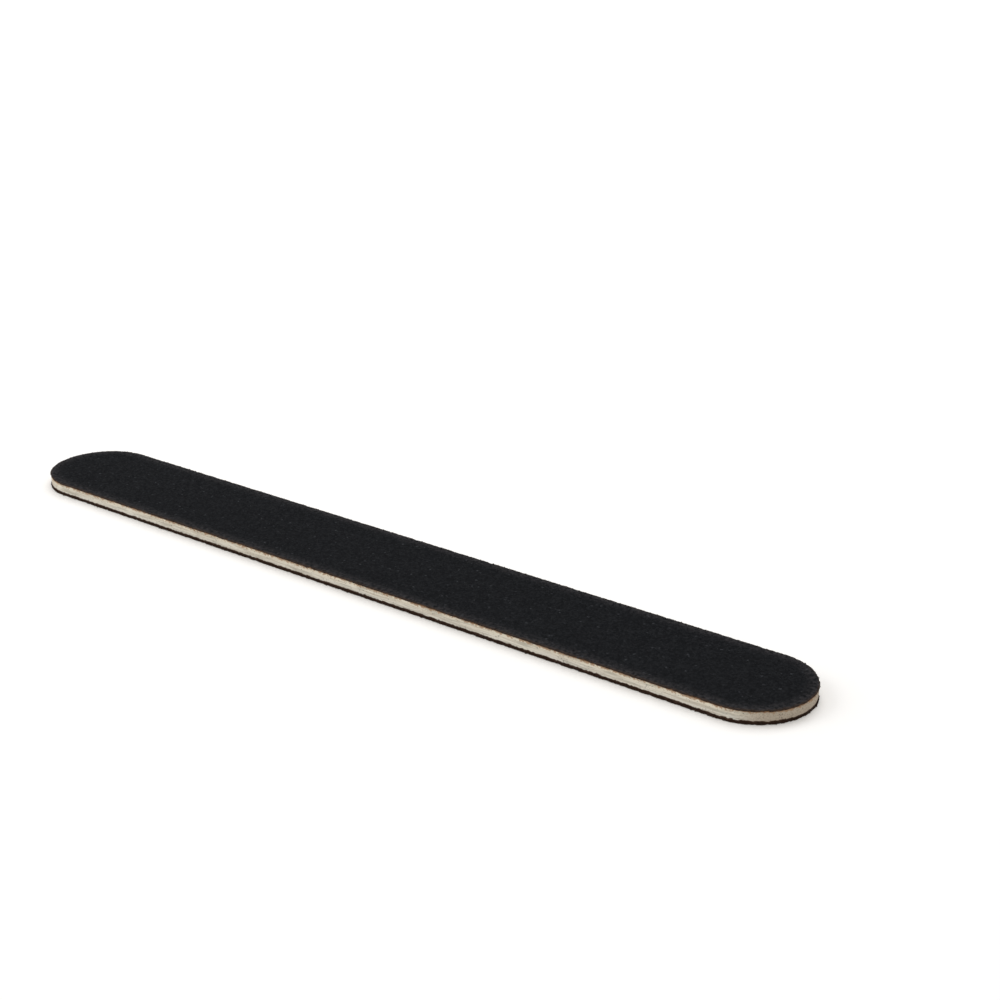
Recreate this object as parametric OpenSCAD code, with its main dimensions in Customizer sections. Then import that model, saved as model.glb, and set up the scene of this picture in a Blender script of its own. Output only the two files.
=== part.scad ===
// Emery board: a wooden core with abrasive paper glued to both faces.
// It lies flat on its underside, long side along X, with the origin at the middle of that underside.

/* [Board] */
// Length from tip to tip
board_length = 150; // [90:1:200]
// Width across the board
board_width = 18.2; // [10:0.1:30]

/* [Core] */
// Thickness of the wooden core
core_thickness = 1.5; // [0.6:0.1:5]
// How far the sanded rim swells out at mid height, against its two corners
rim_crown = 0.06; // [0.02:0.01:0.3]

/* [Abrasive sheets] */
// Thickness of the dried glue under each sheet
glue_thickness = 0.04; // [0.02:0.01:0.1]
// Thickness of the top sheet's backing paper
top_paper_thickness = 0.12; // [0.06:0.01:0.3]
// Thickness of the under sheet's backing paper, the heavier one
under_paper_thickness = 0.20; // [0.06:0.01:0.4]
// Thickness of the resin bed that the grains are set in
resin_thickness = 0.06; // [0.02:0.01:0.15]
// Height of the grains over the resin on the top face, the finer one
top_grit_height = 0.08; // [0.03:0.01:0.2]
// Height of the grains over the resin on the underside, the coarser one
under_grit_height = 0.20; // [0.03:0.01:0.3]
// Space between neighbouring grains, left where one slab of grains ends and the next begins
grain_gap = 0.05; // [0.02:0.01:0.15]

/* [Cut edge] */
// How far the cutting die, which came from above, pressed the top sheet and the core down at the rim
rim_roll = 0.06; // [0.02:0.01:0.15]
// How far in from the rim that rolled border reaches
roll_width = 1.1; // [0.4:0.1:2]

/* [Hidden] */

// Plan of the board: a straight middle with a half-round tip at each end
half_width = board_width / 2;
straight_length = board_length - board_width;

// Heights of the faces between the plies, from the underside up
under_resin_face = under_grit_height;
under_paper_face = under_resin_face + resin_thickness;
under_glue_face = under_paper_face + under_paper_thickness;
core_bottom = under_glue_face + glue_thickness;
core_top = core_bottom + core_thickness;
top_glue_face = core_top + glue_thickness;
top_paper_face = top_glue_face + top_paper_thickness;
top_resin_face = top_paper_face + resin_thickness;
board_thickness = top_resin_face + top_grit_height;
mid_height = (core_bottom + core_top) / 2;

// Fineness of the curves
roll_steps = 5;
crown_steps = 8;
tip_facets = 128;

// Distance from the board's centre line out to the crowned rim, at a height
function rim_reach(height) =
    half_width - rim_crown * pow((height - mid_height) / (board_thickness / 2), 2);

// Only the faces over the middle of the core are rolled. The lower ones are flat out to the rim
function rolled(face) = face > mid_height;

// Height of a face where it meets the rim
function rim_height(face) = rolled(face) ? face - rim_roll : face;

// Half section of one face between plies, from the centre line out to the rim
function face_line(face) = concat(
    [[0, face]],
    rolled(face)
        ? [for (step = [0:roll_steps]) let (share = step / roll_steps) [
            rim_reach(rim_height(face)) - roll_width * (1 - share),
            face - rim_roll * share * share
        ]]
        : [[rim_reach(face), face]]
);

// Crowned rim between two faces, without its ends
function rim_line(low, high) = [
    for (step = [1:crown_steps - 1])
        let (height = rim_height(low) + (rim_height(high) - rim_height(low)) * step / crown_steps)
        [rim_reach(height), height]
];

function reversed(points) = [for (i = [len(points) - 1:-1:0]) points[i]];

// Other half of a section, across the centre line
function mirrored(points) = [for (p = reversed(points)) if (p[0] > 0) [-p[0], p[1]]];

// Half section of the ply between two faces. Only the core is thick enough for its rim to show a crown
function ply_section(low, high, crowned) =
    concat(face_line(low), crowned ? rim_line(low, high) : [], reversed(face_line(high)));

// One ply with the plan of the board. Neighbours share a face line, so they lie face to face.
// A gap parts the two tips from the middle
module ply(low, high, crowned = false, gap = 0) {
    section = ply_section(low, high, crowned);
    rotate([90, 0, 90])
        linear_extrude(height = straight_length - 2 * gap, center = true)
            polygon(concat(section, mirrored(section)));
    for (end = [-1, 1])
        translate([end * straight_length / 2, 0, 0])
            rotate([0, 0, -90 * end])
                rotate_extrude(angle = 180, $fn = tip_facets)
                    polygon(section);
}

module core() {
    color("#cdc3ad") ply(core_bottom, core_top, crowned = true);
}

module top_glue_film() {
    color("#b08a58") ply(core_top, top_glue_face);
}

module top_backing_paper() {
    color("#8a6647") ply(top_glue_face, top_paper_face);
}

module top_resin_bed() {
    color("#2a211c") ply(top_paper_face, top_resin_face);
}

// Loose grains aren't one sheet: each layer of them is a slab in the middle and one on each tip
module top_grit() {
    color("#232326") ply(top_resin_face, board_thickness, gap = grain_gap);
}

module under_glue_film() {
    color("#b08a58") ply(under_glue_face, core_bottom);
}

module under_backing_paper() {
    color("#8a6647") ply(under_paper_face, under_glue_face);
}

module under_resin_bed() {
    color("#2a211c") ply(under_resin_face, under_paper_face);
}

module under_grit() {
    color("#232326") ply(0, under_resin_face, gap = grain_gap);
}

core();
top_glue_film();
top_backing_paper();
top_resin_bed();
top_grit();
under_glue_film();
under_backing_paper();
under_resin_bed();
under_grit();
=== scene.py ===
# Looks of the emery board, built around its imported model.
# Everything is in metres, with the board's middle on the origin and its long side along X.

import math

import bpy
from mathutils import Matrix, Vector, noise


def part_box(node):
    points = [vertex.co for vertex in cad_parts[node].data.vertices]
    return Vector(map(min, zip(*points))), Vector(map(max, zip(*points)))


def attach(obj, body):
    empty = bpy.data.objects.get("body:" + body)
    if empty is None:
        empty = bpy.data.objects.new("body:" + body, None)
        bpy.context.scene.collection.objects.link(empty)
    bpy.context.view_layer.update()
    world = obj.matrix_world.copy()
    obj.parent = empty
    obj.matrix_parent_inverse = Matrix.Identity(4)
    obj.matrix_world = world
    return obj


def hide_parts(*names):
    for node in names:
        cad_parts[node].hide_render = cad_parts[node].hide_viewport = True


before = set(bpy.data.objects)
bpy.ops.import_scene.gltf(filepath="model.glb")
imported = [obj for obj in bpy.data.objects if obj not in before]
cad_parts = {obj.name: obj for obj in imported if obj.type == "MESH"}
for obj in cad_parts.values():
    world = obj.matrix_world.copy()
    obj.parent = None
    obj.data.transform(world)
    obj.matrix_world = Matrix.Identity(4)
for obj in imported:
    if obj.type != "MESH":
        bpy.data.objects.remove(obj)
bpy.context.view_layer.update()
print("frame loaded:", len(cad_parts), "plies")

mm = 0.001
weld = 0.001 * mm     # vertices closer than this become one
touch = 0.01 * mm     # a vertex nearer than this to a plane lies on it

# The plan is a straight middle with a half-round tip at each end
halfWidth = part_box("core")[1].y
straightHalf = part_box("core")[1].x - halfWidth
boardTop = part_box("top_grit")[1].z
midHeight = (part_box("core")[0].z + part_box("core")[1].z) / 2

# The die came from above: it rolled the top plies down at the rim, and the cut edge is slightly crowned
rim = {
    "rollWidth": 1.1 * mm,
    "rollDepth": 0.06 * mm,
    "crown": 0.06 * mm,
    "raggedSize": 0.625 * mm,     # size of the waves in the border of its wear
}


# Camera and light

camera = {
    "place": (172.361 * mm, -194.761 * mm, 115.920 * mm),
    "turn": 37.5385,      # degrees from +Y towards -X
    "pitch": 21.7634,     # degrees down from level
    "lens": 65.1,
    "sensor": 36,
    "nearest": 0.01,      # nothing closer than this shows
}

studio = {
    "worldStrength": 0.56,
    "keyPlace": (-0.35, 0.75, 1.30),
    "keySize": 1.1,
    "keyPower": 9,
    "fillPlace": (-1.00, -0.70, 0.70),
    "fillSize": 1.0,
    "fillPower": 7.0,
    "floorSize": 2.2,     # beyond this the lamps fade, and the floor would grey
    "floorAlbedo": 0.84,
    "floorLift": (0.240, 0.225, 0.205, 1),   # what the lens sees over the floor's own light
}


def addCamera():
    bpy.ops.object.camera_add(
        location=camera["place"],
        rotation=(math.radians(90 - camera["pitch"]), 0, math.radians(camera["turn"])),
    )
    view = bpy.context.object
    view.name = "camera"
    view.data.lens = camera["lens"]
    view.data.sensor_width = camera["sensor"]
    view.data.clip_start = camera["nearest"]
    bpy.context.scene.camera = view


def seenRay(nodes, links):
    # 1 for a camera, glossy or transmission ray, 0 for the rays that light things
    path = nodes.new("ShaderNodeLightPath")
    seen = path.outputs["Is Camera Ray"]
    for kind in ("Is Glossy Ray", "Is Transmission Ray"):
        either = nodes.new("ShaderNodeMath")
        either.operation = "MAXIMUM"
        links.new(seen, either.inputs[0])
        links.new(path.outputs[kind], either.inputs[1])
        seen = either.outputs[0]
    return seen


def addSoftbox(name, place, size, power):
    bpy.ops.object.light_add(type="AREA", location=place)
    lamp = bpy.context.object
    lamp.name = name
    lamp.data.size = size
    lamp.data.energy = power
    lamp.rotation_euler = (-lamp.location).to_track_quat("-Z", "Y").to_euler()


def addSky():
    world = bpy.data.worlds.new("studio")
    bpy.context.scene.world = world
    world.use_nodes = True
    nodes, links = world.node_tree.nodes, world.node_tree.links
    nodes.clear()
    soft = nodes.new("ShaderNodeBackground")
    soft.inputs["Color"].default_value = (1, 1, 1, 1)
    soft.inputs["Strength"].default_value = studio["worldStrength"]
    white = nodes.new("ShaderNodeBackground")
    white.inputs["Color"].default_value = (1, 1, 1, 1)
    mix = nodes.new("ShaderNodeMixShader")
    links.new(seenRay(nodes, links), mix.inputs[0])
    links.new(soft.outputs[0], mix.inputs[1])
    links.new(white.outputs[0], mix.inputs[2])
    links.new(mix.outputs[0], nodes.new("ShaderNodeOutputWorld").inputs["Surface"])


def addFloor():
    bpy.ops.mesh.primitive_plane_add(size=studio["floorSize"])
    floor = bpy.context.object
    floor.name = "floor"
    paint = bpy.data.materials.new("floorPaper")
    paint.use_nodes = True
    nodes, links = paint.node_tree.nodes, paint.node_tree.links
    nodes.clear()
    diffuse = nodes.new("ShaderNodeBsdfDiffuse")
    diffuse.inputs["Color"].default_value = (studio["floorAlbedo"],) * 3 + (1,)
    lift = nodes.new("ShaderNodeEmission")
    lift.inputs["Color"].default_value = studio["floorLift"]
    links.new(seenRay(nodes, links), lift.inputs["Strength"])
    add = nodes.new("ShaderNodeAddShader")
    links.new(diffuse.outputs[0], add.inputs[0])
    links.new(lift.outputs[0], add.inputs[1])
    links.new(add.outputs[0], nodes.new("ShaderNodeOutputMaterial").inputs["Surface"])
    floor.data.materials.append(paint)


bpy.context.scene.view_settings.view_transform = "Standard"
addCamera()
addSoftbox("keyLight", studio["keyPlace"], studio["keySize"], studio["keyPower"])
addSoftbox("fillLight", studio["fillPlace"], studio["fillSize"], studio["fillPower"])
addSky()
addFloor()
print("camera and studio placed")


# Modelling helpers

def selectNone():
    if bpy.context.object and bpy.context.object.mode == "EDIT":
        bpy.ops.object.mode_set(mode="OBJECT")
    bpy.ops.object.select_all(action="DESELECT")


def pickVertices(piece, wanted):
    # Selects the vertices whose place passes the test, and leaves the piece in edit mode
    bpy.ops.object.mode_set(mode="EDIT")
    bpy.ops.mesh.select_mode(type="VERT")
    bpy.ops.mesh.select_all(action="DESELECT")
    bpy.ops.object.mode_set(mode="OBJECT")
    for vertex in piece.data.vertices:
        vertex.select = wanted(vertex.co)
    bpy.ops.object.mode_set(mode="EDIT")


def pickOpenEdge():
    bpy.ops.mesh.select_mode(type="EDGE")
    bpy.ops.mesh.select_all(action="DESELECT")
    bpy.ops.mesh.select_non_manifold(
        extend=False, use_wire=False, use_multi_face=False,
        use_non_contiguous=False, use_verts=False)


def roundTip(piece, reach, height, step):
    # Turns the open end of a quarter round the tip, then mirrors the quarter both ways
    pickVertices(piece, lambda co: co.x > straightHalf - touch)
    bpy.ops.mesh.spin(
        steps=round(reach * math.pi / 2 / step), angle=math.pi / 2,
        center=(straightHalf, 0, height), axis=(0, 0, 1))
    bpy.ops.mesh.select_all(action="SELECT")
    bpy.ops.mesh.remove_doubles(threshold=weld)
    bpy.ops.object.mode_set(mode="OBJECT")
    mirror = piece.modifiers.new("quarters", "MIRROR")
    mirror.use_axis = (True, True, False)
    mirror.merge_threshold = weld
    bpy.ops.object.modifier_apply(modifier=mirror.name)


def turnOutward():
    # Points every face of the piece in edit mode out of it, and goes back to object mode
    bpy.ops.mesh.select_all(action="SELECT")
    bpy.ops.mesh.normals_make_consistent(inside=False)
    bpy.ops.object.mode_set(mode="OBJECT")


def rimDistance(x, y, reach):
    # How far in from the rim a point of the plan lies
    return reach - math.hypot(max(abs(x) - straightHalf, 0), y)


def outward(x, y):
    # Level direction from the board's centre line out through the rim
    across = Vector((math.copysign(max(abs(x) - straightHalf, 0), x), y, 0))
    return across.normalized() if across.length > 0 else across


def settle(piece, material, slot, *nodes):
    # Gives a finished piece its material and its place in the model
    piece.data.materials.clear()
    piece.data.materials.append(material)
    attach(piece, "root")
    if nodes:
        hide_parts(*nodes)


# Abrasive coats: the resin that wraps the grains, on both faces

coat = {
    "cell": 0.185 * mm,
    "clumpSize": 1.1 * mm,
    "clumpRelief": 0.016 * mm,
    "steep": 1.5,             # slope between a grain's crown and the gaps round it
    "chipSize": 0.9 * mm,
    "chipDepth": 0.20 * mm,
    "chipReach": 0.6 * mm,
    "chipSeed": 7,
    "chipDetail": 3.1,        # how many small notches there are to a large one
    "chipShare": 0.6,         # and how deep they are beside it
    "burrSize": 0.6 * mm,
    "burrDetail": 2.7,
    "overhang": 0.07 * mm,    # how far the coats stand out over the core's rim
    "proudTip": 0.04 * mm,    # how far the sharpest tips rise over the nominal face
}

topFace = {
    "node": "top_grit",
    "side": 1,
    "seed": 11,
    "paperSeed": 3,
    "roll": 0.04 * mm,
    "grainSize": 0.28 * mm,
    "grainRelief": 0.040 * mm,
    "stand": -0.02 * mm,      # how far the nominal face stands over the coat
    "burr": 0.160 * mm,       # how far the coat wraps the cut edge
    "drip": 0.160 * mm,       # how ragged that wrap's border is
    "crystal": 0.110 * mm,
    "crystalGap": 0.245 * mm,
    "sink": 0.030 * mm,       # how deep the grains sit in the coat
}

underFace = {
    "node": "under_grit",
    "side": -1,
    "seed": 37,
    "paperSeed": 5,
    "roll": 0,
    "grainSize": 0.38 * mm,
    "grainRelief": 0.070 * mm,
    "stand": 0.030 * mm,
    "burr": 0.260 * mm,
    "drip": 0.160 * mm,
    "crystal": 0.135 * mm,
    "crystalGap": 0.290 * mm,
    "sink": 0.020 * mm,
}


def planSheet(name, reach, height):
    # A flat sheet with the plan of the board
    selectNone()
    columns = round(straightHalf / coat["cell"])
    rows = round(reach / coat["cell"])
    bpy.ops.mesh.primitive_grid_add(
        x_subdivisions=columns, y_subdivisions=rows, size=1,
        location=(straightHalf / 2, reach / 2, height))
    piece = bpy.context.object
    piece.name = name
    bpy.ops.transform.resize(value=(straightHalf, reach, 1))
    bpy.ops.object.transform_apply(location=True, rotation=True, scale=True)
    roundTip(piece, reach, height, coat["cell"])
    return piece


def abrasiveCoat(name, face):
    low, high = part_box(face["node"])
    side, seed = face["side"], face["seed"]
    reach = halfWidth + coat["overhang"]
    level = (high.z if side > 0 else low.z) - side * face["stand"]
    piece = planSheet(name, reach, level)
    for vertex in piece.data.vertices:
        x, y = vertex.co.x, vertex.co.y
        inside = rimDistance(x, y, reach)
        share = max(0, 1 - inside / rim["rollWidth"])
        place = Vector((x / face["grainSize"], y / face["grainSize"], seed))
        near = noise.voronoi(place)[0][0]
        clump = noise.noise(Vector((x / coat["clumpSize"], y / coat["clumpSize"], seed)))
        dip = face["grainRelief"] * min(1, near * coat["steep"])
        dip += coat["clumpRelief"] * (0.5 + 0.5 * clump)
        vertex.co.z = level - side * (face["roll"] * share * share + dip)
        if inside < coat["chipReach"]:
            along = Vector((x / coat["chipSize"], y / coat["chipSize"], seed + coat["chipSeed"]))
            small = coat["chipShare"] * noise.noise(along * coat["chipDetail"])
            notch = max(0, noise.noise(along) + small)
            fade = 1 - max(0, inside) / coat["chipReach"]
            vertex.co -= outward(x, y) * (coat["chipDepth"] * notch * fade)
    bpy.ops.object.mode_set(mode="EDIT")
    pickOpenEdge()
    bpy.ops.mesh.extrude_edges_move(TRANSFORM_OT_translate={"value": (0, 0, -side * face["burr"])})
    bpy.ops.object.mode_set(mode="OBJECT")
    for vertex in piece.data.vertices:
        if vertex.select:
            along = vertex.co / coat["burrSize"]
            ragged = noise.noise(along) + noise.noise(along * coat["burrDetail"])
            vertex.co.z += side * face["drip"] * ragged
    bpy.ops.object.mode_set(mode="EDIT")
    bpy.ops.mesh.edge_face_add()
    turnOutward()
    return piece


topCoat = abrasiveCoat("top_coat", topFace)
underCoat = abrasiveCoat("under_coat", underFace)
print("abrasive coats:", len(topCoat.data.polygons), "faces each")


# Wooden core and backing papers: plies whose cut edge shows

wood = {
    "step": 0.22 * mm,
    "rows": 18,
    "fibreLong": 3.0 * mm,
    "fibreWide": 0.13 * mm,
    "fineness": 2.3,          # how many fine fibres there are to a coarse one
    "fineShare": 0.5,
    "relief": 0.045 * mm,
    "set": 0.6,               # how deep the sawn face lies, and how much it varies, as shares of the relief
    "vary": 0.5,
}

paper = {
    "step": 0.22 * mm,
    "rows": 3,
    "fuzzSize": 0.35 * mm,
    "relief": 0.035 * mm,
    "set": 0.3,
}


def rimBand(name, low, high, reach, step, rows):
    # The cut edge all round the board, open above and below
    selectNone()
    height = high - low
    bpy.ops.mesh.primitive_grid_add(
        x_subdivisions=round(straightHalf / step), y_subdivisions=rows, size=1,
        location=(straightHalf / 2, reach, (low + high) / 2), rotation=(math.pi / 2, 0, 0))
    piece = bpy.context.object
    piece.name = name
    bpy.ops.object.transform_apply(location=False, rotation=True, scale=True)
    bpy.ops.transform.resize(value=(straightHalf, 1, height))
    bpy.ops.object.transform_apply(location=True, rotation=True, scale=True)
    roundTip(piece, reach, 0, step)
    return piece


def closeBand(piece, low, high):
    # One face over each open side of the band
    middle = (low + high) / 2
    for above in (True, False):
        pickVertices(piece, lambda co: False)
        pickOpenEdge()
        bpy.ops.object.mode_set(mode="OBJECT")
        for edge in piece.data.edges:
            if edge.select and (piece.data.vertices[edge.vertices[0]].co.z > middle) != above:
                edge.select = False
        picked = {index for edge in piece.data.edges if edge.select for index in edge.vertices}
        for vertex in piece.data.vertices:
            vertex.select = vertex.index in picked
        bpy.ops.object.mode_set(mode="EDIT")
        bpy.ops.mesh.edge_face_add()
    turnOutward()


def rimInset(z):
    return rim["crown"] * ((z - midHeight) / (boardTop / 2)) ** 2


def woodenCore():
    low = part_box("core")[0].z
    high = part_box("core")[1].z - rim["rollDepth"]
    piece = rimBand("wooden_core", low, high, halfWidth, wood["step"], wood["rows"])
    for vertex in piece.data.vertices:
        co = vertex.co
        grain = Vector((co.x / wood["fibreLong"], co.y / wood["fibreWide"], co.z / wood["fibreWide"]))
        rough = noise.noise(grain) + wood["fineShare"] * noise.noise(grain * wood["fineness"])
        depth = wood["relief"] * (wood["set"] - wood["vary"] * rough)
        vertex.co -= outward(co.x, co.y) * (rimInset(co.z) + depth)
    closeBand(piece, low, high)
    return piece


def backingPaper(name, face):
    low, high = (corner.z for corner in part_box(name))
    if face["side"] > 0:
        low -= rim["rollDepth"]
        high -= rim["rollDepth"]
    piece = rimBand(name.replace("backing", "edge"), low, high, halfWidth, paper["step"], paper["rows"])
    for vertex in piece.data.vertices:
        co = vertex.co
        fuzz = noise.noise(co / paper["fuzzSize"] + Vector((0, 0, face["paperSeed"])))
        depth = paper["relief"] * (paper["set"] - fuzz)
        vertex.co -= outward(co.x, co.y) * (rimInset(co.z) + depth)
    closeBand(piece, low, high)
    return piece


core = woodenCore()
topPaper = backingPaper("top_backing_paper", topFace)
underPaper = backingPaper("under_backing_paper", underFace)
print("core and papers made")


# Crystals: one sharp grain, repeated over each coat

crystal = {
    "sides": 4,
    "height": 1.5,            # times the radius
    "stretch": (1.20, 0.80, 1.0),
    "leanX": 0.30,            # how far off centre the tip lies, times the radius
    "leanY": 0.20,
    "smallest": 0.55,
    "largest": 1.20,
    "density": 40e6,          # per square metre, before the gap thins them
    "slope": 0.45,            # how far a face may lean away from the side that carries grains
}


def grainShard(name, size):
    selectNone()
    bpy.ops.mesh.primitive_cone_add(
        vertices=crystal["sides"], radius1=size, radius2=0, depth=crystal["height"] * size)
    shard = bpy.context.object
    shard.name = name
    bpy.ops.object.mode_set(mode="EDIT")
    bpy.ops.transform.resize(value=crystal["stretch"])
    bpy.ops.object.mode_set(mode="OBJECT")
    pickVertices(shard, lambda co: co.z > 0)
    bpy.ops.transform.translate(value=(size * crystal["leanX"], size * crystal["leanY"], 0))
    bpy.ops.object.mode_set(mode="OBJECT")
    return shard


def scatter(shard, surface, side, gap, density, seed):
    # Repeats the shard over the faces that look up for side 1, down for -1, and out of the rim for 0
    tree = bpy.data.node_groups.new("scatter", "GeometryNodeTree")
    tree.interface.new_socket("Geometry", in_out="INPUT", socket_type="NodeSocketGeometry")
    tree.interface.new_socket("Geometry", in_out="OUTPUT", socket_type="NodeSocketGeometry")
    nodes, links = tree.nodes, tree.links
    host = nodes.new("GeometryNodeObjectInfo")
    host.inputs["Object"].default_value = surface
    slope = nodes.new("ShaderNodeSeparateXYZ")
    links.new(nodes.new("GeometryNodeInputNormal").outputs[0], slope.inputs[0])
    facing = nodes.new("ShaderNodeMath")
    facing.operation = "COMPARE"
    facing.inputs[1].default_value = side
    facing.inputs[2].default_value = crystal["slope"]
    links.new(slope.outputs["Z"], facing.inputs[0])
    points = nodes.new("GeometryNodeDistributePointsOnFaces")
    points.distribute_method = "POISSON"
    points.inputs["Distance Min"].default_value = gap
    points.inputs["Density Max"].default_value = density
    points.inputs["Seed"].default_value = seed
    links.new(host.outputs["Geometry"], points.inputs["Mesh"])
    links.new(facing.outputs[0], points.inputs["Selection"])
    turn = nodes.new("FunctionNodeRandomValue")
    turn.data_type = "FLOAT_VECTOR"
    turn.inputs["Max"].default_value = (math.tau,) * 3
    turn.inputs["Seed"].default_value = seed
    size = nodes.new("FunctionNodeRandomValue")
    size.data_type = "FLOAT"
    # The sockets Min and Max of a single value
    size.inputs[2].default_value = crystal["smallest"]
    size.inputs[3].default_value = crystal["largest"]
    size.inputs["Seed"].default_value = seed + 1
    copies = nodes.new("GeometryNodeInstanceOnPoints")
    links.new(points.outputs["Points"], copies.inputs["Points"])
    links.new(nodes.new("NodeGroupInput").outputs[0], copies.inputs["Instance"])
    links.new(turn.outputs[0], copies.inputs["Rotation"])
    links.new(size.outputs[1], copies.inputs["Scale"])
    real = nodes.new("GeometryNodeRealizeInstances")
    links.new(copies.outputs[0], real.inputs[0])
    links.new(real.outputs[0], nodes.new("NodeGroupOutput").inputs[0])
    repeat = shard.modifiers.new("repeat", "NODES")
    repeat.node_group = tree
    bpy.context.view_layer.objects.active = shard
    bpy.ops.object.modifier_apply(modifier=repeat.name)


def abrasiveGrains(name, face, surface):
    grains = grainShard(name, face["crystal"])
    scatter(grains, surface, face["side"], face["crystalGap"], crystal["density"], face["seed"])
    for vertex in grains.data.vertices:
        sunk = vertex.co.z - face["side"] * face["sink"]
        vertex.co.z = min(max(sunk, 0), boardTop + coat["proudTip"])
    return grains


dust = {
    "crystal": 0.035 * mm,
    "gap": 0.25 * mm,
    "density": 3.0e6,
    "seed": 71,
}


def rimDust():
    # Loose grains caught on the sawn wood
    specks = grainShard("rim_dust", dust["crystal"])
    scatter(specks, core, 0, dust["gap"], dust["density"], dust["seed"])
    return specks


topGrains = abrasiveGrains("top_grains", topFace, topCoat)
underGrains = abrasiveGrains("under_grains", underFace, underCoat)
rimSpecks = rimDust()
print("grains:", len(topGrains.data.polygons), "faces on top,",
      len(underGrains.data.polygons), "below,", len(rimSpecks.data.polygons), "on the rim")


# Shader groups. Each works on Object coordinates, in metres

def newGroup(name, inputs, outputs):
    group = bpy.data.node_groups.new(name, "ShaderNodeTree")
    for label, kind, value in inputs:
        socket = group.interface.new_socket(label, in_out="INPUT", socket_type="NodeSocket" + kind)
        if value is not None:
            socket.default_value = value
    for label, kind in outputs:
        group.interface.new_socket(label, in_out="OUTPUT", socket_type="NodeSocket" + kind)
    nodes = group.nodes
    return group, nodes, group.links, nodes.new("NodeGroupInput"), nodes.new("NodeGroupOutput")


def feed(links, value, socket):
    # A socket is linked, and a plain value is written in
    if isinstance(value, bpy.types.NodeSocket):
        links.new(value, socket)
    else:
        socket.default_value = value


def compute(nodes, links, operation, *values):
    node = nodes.new("ShaderNodeMath")
    node.operation = operation
    for value, socket in zip(values, node.inputs):
        feed(links, value, socket)
    return node.outputs[0]


def spread(nodes, links, value, low, high, toLow=0.0, toHigh=1.0):
    # Soft step from low to high
    node = nodes.new("ShaderNodeMapRange")
    node.interpolation_type = "SMOOTHSTEP"
    for given, socket in zip((value, low, high, toLow, toHigh), node.inputs):
        feed(links, given, socket)
    return node.outputs[0]


def blend(nodes, links, mask, under, over):
    node = nodes.new("ShaderNodeMix")
    node.data_type = "RGBA"
    feed(links, mask, node.inputs["Factor"])
    feed(links, under, node.inputs["A"])
    feed(links, over, node.inputs["B"])
    return node.outputs["Result"]


def placeOver(nodes, links, place, size):
    # Object coordinates over the size of a pattern, which may differ along X, Y and Z
    node = nodes.new("ShaderNodeVectorMath")
    node.operation = "DIVIDE"
    feed(links, place, node.inputs[0])
    feed(links, size, node.inputs[1])
    return node.outputs[0]


def blotchGroup():
    # Cloudy patches, stretched as Size says
    group, nodes, links, start, end = newGroup(
        "blotches",
        (("Place", "Vector", None), ("Size", "Vector", (mm,) * 3),
         ("Low", "Float", 0.4), ("High", "Float", 0.6)),
        (("Mask", "Float"), ("Height", "Float")))
    cloud = nodes.new("ShaderNodeTexNoise")
    cloud.inputs["Scale"].default_value = 1
    cloud.inputs["Detail"].default_value = 2
    links.new(placeOver(nodes, links, start.outputs["Place"], start.outputs["Size"]), cloud.inputs["Vector"])
    mask = spread(nodes, links, cloud.outputs["Fac"], start.outputs["Low"], start.outputs["High"])
    links.new(mask, end.inputs["Mask"])
    links.new(cloud.outputs["Fac"], end.inputs["Height"])
    return group


def cellGroup():
    # Grains side by side: a chance value for each, and the height of its crown
    group, nodes, links, start, end = newGroup(
        "grainCells",
        (("Place", "Vector", None), ("Size", "Vector", (mm,) * 3)),
        (("Chance", "Float"), ("Crown", "Float")))
    cells = nodes.new("ShaderNodeTexVoronoi")
    cells.inputs["Scale"].default_value = 1
    links.new(placeOver(nodes, links, start.outputs["Place"], start.outputs["Size"]), cells.inputs["Vector"])
    parts = nodes.new("ShaderNodeSeparateColor")
    links.new(cells.outputs["Color"], parts.inputs[0])
    links.new(parts.outputs[0], end.inputs["Chance"])
    links.new(compute(nodes, links, "SUBTRACT", 1.0, cells.outputs["Distance"]), end.inputs["Crown"])
    return group


def rimGroup():
    # How worn a point of the plan is: 1 at the rim, fading over Width, with a ragged border
    group, nodes, links, start, end = newGroup(
        "rimWear",
        (("Place", "Vector", None), ("Reach", "Float", halfWidth), ("Straight", "Float", straightHalf),
         ("Width", "Float", mm), ("Ragged", "Float", 0.3 * mm)),
        (("Mask", "Float"),))
    parts = nodes.new("ShaderNodeSeparateXYZ")
    links.new(start.outputs["Place"], parts.inputs[0])
    along = compute(nodes, links, "ABSOLUTE", parts.outputs["X"])
    past = compute(nodes, links, "SUBTRACT", along, start.outputs["Straight"])
    past = compute(nodes, links, "MAXIMUM", past, 0.0)
    pastSquare = compute(nodes, links, "MULTIPLY", past, past)
    sideSquare = compute(nodes, links, "MULTIPLY", parts.outputs["Y"], parts.outputs["Y"])
    away = compute(nodes, links, "SQRT", compute(nodes, links, "ADD", pastSquare, sideSquare))
    inside = compute(nodes, links, "SUBTRACT", start.outputs["Reach"], away)
    cloud = nodes.new("ShaderNodeTexNoise")
    cloud.inputs["Scale"].default_value = 1 / rim["raggedSize"]
    cloud.inputs["Detail"].default_value = 3
    links.new(start.outputs["Place"], cloud.inputs["Vector"])
    # The cloud's values lie round 0.5, so the border strays both ways
    stray = compute(nodes, links, "SUBTRACT", cloud.outputs["Fac"], 0.5)
    jitter = compute(nodes, links, "MULTIPLY", stray, start.outputs["Ragged"])
    ragged = compute(nodes, links, "ADD", inside, jitter)
    links.new(spread(nodes, links, ragged, start.outputs["Width"], 0.0), end.inputs["Mask"])
    return group


blotches = blotchGroup()
grainCells = cellGroup()
rimWear = rimGroup()
print("shader groups made")


# Materials

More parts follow.
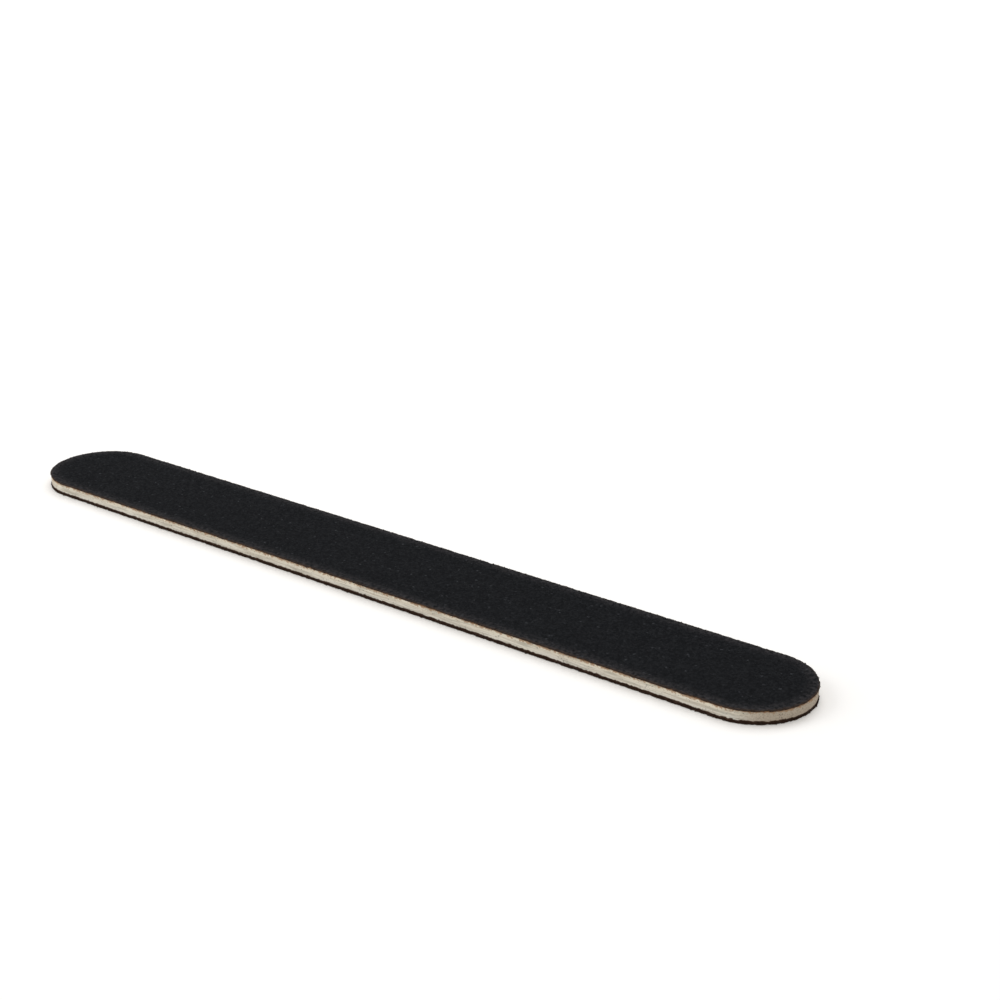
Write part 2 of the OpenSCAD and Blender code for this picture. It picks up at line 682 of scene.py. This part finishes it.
class Finish:
    # A material under way: its nodes, its links and the coordinates that its patterns read
    def __init__(self, name, specular):
        self.material = bpy.data.materials.new(name)
        self.material.use_nodes = True
        self.nodes = self.material.node_tree.nodes
        self.links = self.material.node_tree.links
        self.shader = self.nodes["Principled BSDF"]
        self.shader.inputs["Specular IOR Level"].default_value = specular
        self.place = self.nodes.new("ShaderNodeTexCoord").outputs["Object"]

    def effect(self, group, **values):
        node = self.nodes.new("ShaderNodeGroup")
        node.node_tree = group
        self.links.new(self.place, node.inputs["Place"])
        for label, value in values.items():
            feed(self.links, value, node.inputs[label])
        return node.outputs

    def cloud(self, look):
        return self.effect(blotches, Size=look["size"], Low=look["low"], High=look["high"])

    def blend(self, mask, under, over):
        return blend(self.nodes, self.links, mask, under, over)

    def compute(self, operation, *values):
        return compute(self.nodes, self.links, operation, *values)

    def times(self, first, second):
        return self.compute("MULTIPLY", first, second)

    def minus(self, first, second):
        return self.compute("SUBTRACT", first, second)

    def spread(self, *values):
        return spread(self.nodes, self.links, *values)

    def color(self, socket):
        self.links.new(socket, self.shader.inputs["Base Color"])

    def roughness(self, socket):
        self.links.new(socket, self.shader.inputs["Roughness"])

    def bump(self, height, look):
        node = self.nodes.new("ShaderNodeBump")
        node.inputs["Strength"].default_value = look["bump"]
        node.inputs["Distance"].default_value = look["relief"]
        self.links.new(height, node.inputs["Height"])
        self.links.new(node.outputs[0], self.shader.inputs["Normal"])


# Every grain has a chance value from 0 to 1. The palest start at paleFrom, and the few from sparkFrom up
# take a painted glint, a much paler colour, besides their smoother finish
gritLook = {
    "cell": 0.30 * mm,
    "paleFrom": 0.2,
    "dark": (0.0060, 0.0064, 0.0074, 1),
    "light": (0.0090, 0.0097, 0.0113, 1),
    "patch": {"size": (0.75 * mm,) * 3, "low": 0.30, "high": 0.70},
    "patchShare": 0.45,
    "wearWidth": 2.3 * mm,
    "wearRagged": 0.9 * mm,
    "scuff": {"size": (0.55 * mm,) * 3, "low": 0.28, "high": 0.72},
    "wear": 0.80,
    "dust": (0.049, 0.0455, 0.0475, 1),
    "cutWidth": 0.28 * mm,
    "cutRagged": 0.5 * mm,
    "cut": 0.50,
    "brown": (0.058, 0.036, 0.024, 1),
    "sparkFrom": 0.985,
    "spark": (0.033, 0.035, 0.039, 1),
    "rough": 0.98,
    "smooth": 0.75,
    "specular": 0.04,
    "bump": 0.6,
    "relief": 0.03 * mm,
}

crystalLook = gritLook | {
    "cell": 0.26 * mm,
    "light": (0.0108, 0.0117, 0.0136, 1),
    "sparkFrom": 0.982,
    "smooth": 0.68,
    "specular": 0.05,
    "relief": 0.01 * mm,
}

# The under coat's rim is soaked with brown glue
soakedLook = gritLook | {
    "cutWidth": 0.50 * mm,
    "cut": 0.85,
    "brown": (0.030, 0.014, 0.007, 1),
}


def gritFinish(name, look):
    finish = Finish(name, look["specular"])
    cells = finish.effect(grainCells, Size=(look["cell"],) * 3)
    tone = finish.blend(finish.spread(cells["Chance"], look["paleFrom"], 1.0), look["dark"], look["light"])
    patch = finish.times(finish.cloud(look["patch"])["Mask"], look["patchShare"])
    tone = finish.blend(patch, tone, look["light"])
    wear = finish.effect(rimWear, Width=look["wearWidth"], Ragged=look["wearRagged"])
    scuffed = finish.times(wear["Mask"], finish.cloud(look["scuff"])["Mask"])
    tone = finish.blend(finish.times(scuffed, look["wear"]), tone, look["dust"])
    cut = finish.effect(rimWear, Width=look["cutWidth"], Ragged=look["cutRagged"])
    tone = finish.blend(finish.times(cut["Mask"], look["cut"]), tone, look["brown"])
    # Painted glints: the rarest grains are coloured far paler than the rest
    tone = finish.blend(finish.spread(cells["Chance"], look["sparkFrom"], 1.0), tone, look["spark"])
    finish.color(tone)
    finish.roughness(finish.spread(cells["Chance"], 0.0, 1.0, look["rough"], look["smooth"]))
    finish.bump(cells["Crown"], look)
    return finish.material


cloudLow, cloudHigh = 0.3, 0.7     # nearly all of a cloud's height lies between these

woodLook = {
    "specular": 0.25,
    "warm": (0.80, 0.715, 0.56, 1),
    "cool": (0.75, 0.71, 0.625, 1),
    "fibre": {
        "color": (0.50, 0.43, 0.33, 1), "share": 0.60,
        "size": (6.0 * mm, 0.20 * mm, 0.20 * mm), "low": 0.40, "high": 0.66},
    "pale": {
        "color": (0.86, 0.80, 0.67, 1), "share": 0.70,
        "size": (4.0 * mm, 0.24 * mm, 0.28 * mm), "low": 0.52, "high": 0.68},
    "grey": {
        "color": (0.42, 0.40, 0.33, 1), "share": 0.55,
        "size": (3.5 * mm, 1.2 * mm, 0.35 * mm), "low": 0.50, "high": 0.70},
    "pore": {
        "color": (0.24, 0.17, 0.11, 1), "share": 0.60,
        "size": (1.4 * mm, 0.08 * mm, 0.08 * mm), "low": 0.64, "high": 0.72},
    "endGrain": {
        "color": (0.50, 0.41, 0.31, 1), "share": 0.85,
        "start": 0.18 * halfWidth, "full": 0.72 * halfWidth},     # along X, from where the tip begins
    "endPore": {
        "color": (0.22, 0.165, 0.115, 1), "share": 0.55,
        "size": (0.16 * mm,) * 3, "low": 0.50, "high": 0.66},
    "soot": {"color": (0.09, 0.075, 0.06, 1), "share": 0.8, "cell": 0.12 * mm, "from": 0.975},
    "ragged": (0.5 * mm, 0.5 * mm, 0.4 * mm),
    # Scorched down from the upper border, and darkened up from the lower one by a stain and painted shade by
    # the floor, at most as far as deepest.
    # Both fade in over their ragged line, from clear outside it to full inside it
    "scorch": {
        "color": (0.38, 0.23, 0.13, 1), "share": 0.85,
        "deepest": 0.416 * mm, "from": 0.68, "to": 0.32, "clear": 0.06 * mm, "full": 0.14 * mm},
    "stainAndShade": {
        "color": (0.058, 0.026, 0.012, 1),
        "shallowest": 0.02 * mm, "deepest": 0.18 * mm, "clear": 0.05 * mm, "full": 0.03 * mm},
    "smooth": 0.72,
    "rough": 0.92,
    "bump": 0.5,
    "relief": 0.04 * mm,
}


def woodFinish(name, look):
    finish = Finish(name, look["specular"])
    place = finish.nodes.new("ShaderNodeSeparateXYZ")
    finish.links.new(finish.place, place.inputs[0])
    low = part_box("core")[0].z
    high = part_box("core")[1].z - rim["rollDepth"]
    above = finish.minus(place.outputs["Z"], low)
    below = finish.minus(high, place.outputs["Z"])

    tone = finish.blend(finish.spread(above, 0.0, high - low), look["cool"], look["warm"])
    clouds = {}
    for part in ("fibre", "pale", "grey", "pore"):
        clouds[part] = finish.cloud(look[part])
        mask = finish.times(clouds[part]["Mask"], look[part]["share"])
        tone = finish.blend(mask, tone, look[part]["color"])

    # Round the tips the cut runs across the fibres, and the open pores take the light
    endGrain, endPore, soot = look["endGrain"], look["endPore"], look["soot"]
    past = finish.minus(finish.compute("ABSOLUTE", place.outputs["X"]), straightHalf)
    across = finish.spread(past, endGrain["start"], endGrain["full"])
    tone = finish.blend(finish.times(across, endGrain["share"]), tone, endGrain["color"])
    pores = finish.times(across, finish.cloud(endPore)["Mask"])
    tone = finish.blend(finish.times(pores, endPore["share"]), tone, endPore["color"])
    specks = finish.spread(finish.effect(grainCells, Size=(soot["cell"],) * 3)["Chance"], soot["from"], 1.0)
    tone = finish.blend(finish.times(specks, soot["share"]), tone, soot["color"])

    ragged = finish.effect(blotches, Size=look["ragged"])["Height"]
    scorch, stainAndShade = look["scorch"], look["stainAndShade"]
    drop = finish.spread(ragged, scorch["from"], scorch["to"], 0.0, scorch["deepest"])
    scorched = finish.spread(finish.minus(below, drop), scorch["clear"], -scorch["full"])
    tone = finish.blend(finish.times(scorched, scorch["share"]), tone, scorch["color"])
    # A stain with painted shade darkens the foot of the core next to the under paper
    rise = finish.spread(ragged, cloudLow, cloudHigh, stainAndShade["shallowest"], stainAndShade["deepest"])
    stainedAndShaded = finish.spread(finish.minus(above, rise), stainAndShade["clear"], -stainAndShade["full"])
    tone = finish.blend(stainedAndShaded, tone, stainAndShade["color"])
    finish.color(tone)
    streaks = clouds["fibre"]["Height"]
    finish.roughness(finish.spread(streaks, cloudLow, cloudHigh, look["smooth"], look["rough"]))
    finish.bump(streaks, look)
    return finish.material


# Cut edges of the thin plies: two tones, clouded along the rim
edgeBase = {
    "specular": 0.2,
    "low": 0.38,
    "high": 0.64,
    "uneven": 0.1,        # how far the roughness strays either way
    "bump": 0.4,
    "relief": 0.02 * mm,
}

edgeLooks = {
    "brownPaper": {
        "pale": (0.24, 0.125, 0.060, 1), "dark": (0.045, 0.024, 0.014, 1),
        "size": (0.8 * mm, 0.8 * mm, 0.12 * mm), "roughness": 0.85},
    # The top paper's brown, darkened for the under ply: part dirt, part painted shade next to the floor
    "dirtyShadedPaper": {
        "pale": (0.055, 0.024, 0.011, 1), "dark": (0.018, 0.008, 0.004, 1),
        "size": (0.8 * mm, 0.8 * mm, 0.12 * mm), "roughness": 0.80},
    "darkResin": {
        "pale": (0.020, 0.013, 0.009, 1), "dark": (0.006, 0.005, 0.005, 1),
        "size": (0.5 * mm, 0.5 * mm, 0.2 * mm), "roughness": 0.55},
    "tanGlue": {
        "pale": (0.36, 0.22, 0.12, 1), "dark": (0.12, 0.060, 0.028, 1),
        "size": (0.9 * mm, 0.9 * mm, 0.3 * mm), "roughness": 0.50},
    # The tan glue, darkened for the under ply like its paper: part dirt, part painted shade next to the
    # floor
    "dirtyShadedGlue": {
        "pale": (0.050, 0.026, 0.014, 1), "dark": (0.020, 0.010, 0.006, 1),
        "size": (0.9 * mm, 0.9 * mm, 0.3 * mm), "roughness": 0.50},
}


def edgeFinish(name, look):
    finish = Finish(name, look["specular"])
    cloud = finish.cloud(look)
    finish.color(finish.blend(cloud["Mask"], look["pale"], look["dark"]))
    finish.roughness(finish.spread(
        cloud["Height"], cloudLow, cloudHigh,
        look["roughness"] - look["uneven"], look["roughness"] + look["uneven"]))
    finish.bump(cloud["Height"], look)
    return finish.material


blackGrit = gritFinish("blackGrit", gritLook)
soakedGrit = gritFinish("soakedGrit", soakedLook)
blackCrystal = gritFinish("blackCrystal", crystalLook)
creamWood = woodFinish("creamWood", woodLook)
cutEdge = {name: edgeFinish(name, edgeBase | look) for name, look in edgeLooks.items()}

settle(topCoat, blackGrit, "grit", "top_grit")
settle(underCoat, soakedGrit, "grit", "under_grit")
settle(topGrains, blackCrystal, "grit")
settle(underGrains, blackCrystal, "grit")
settle(rimSpecks, blackCrystal, "grit")
settle(core, creamWood, "core_wood", "core")
settle(topPaper, cutEdge["brownPaper"], "backing_paper", "top_backing_paper")
settle(underPaper, cutEdge["dirtyShadedPaper"], "backing_paper", "under_backing_paper")
for node, look in (
        ("top_glue_film", "tanGlue"), ("under_glue_film", "dirtyShadedGlue"),
        ("top_resin_bed", "darkResin"), ("under_resin_bed", "darkResin")):
    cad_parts[node].material_slots[0].material = cutEdge[look]
print("materials placed")
